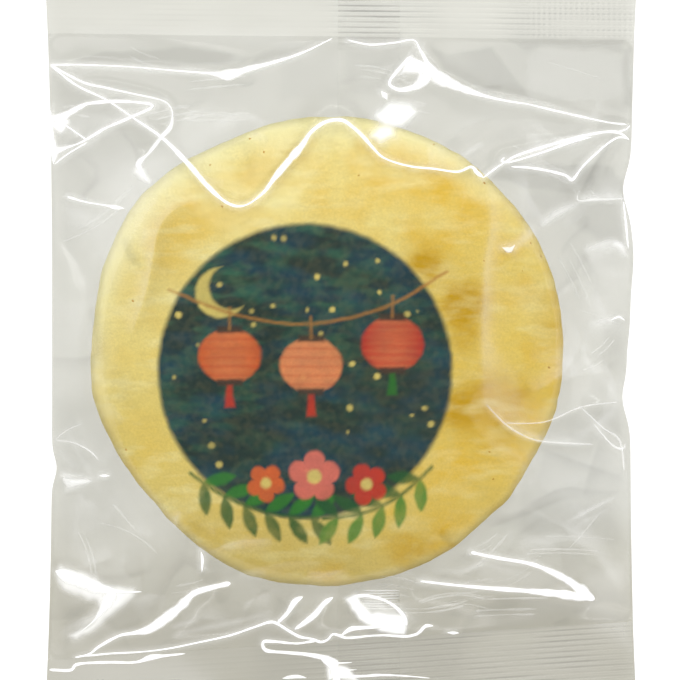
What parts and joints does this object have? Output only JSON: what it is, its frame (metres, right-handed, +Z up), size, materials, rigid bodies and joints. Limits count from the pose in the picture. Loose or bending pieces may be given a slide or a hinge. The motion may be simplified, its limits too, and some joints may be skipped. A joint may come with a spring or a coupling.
{
  "type": "rice cracker",
  "caption": "Round printed rice cracker sealed in a clear, creased film bag with crimped ends and a back seam, lying flat.",
  "frame": {"origin": "middle of the bag's outline, on the surface it lies on, under the fin seal", "axes": "+Z up out of the printed side, +Y along the bag towards its upper end seal, +X across the bag to the right"},
  "size_m": [0.0991, 0.1264, 0.0094],
  "materials": {
    "film": "glossy",
    "rice_cracker": "matte"
  },
  "bodies": {
    "root": {"cracker_pack": "film"}
  },
  "joints": []
}
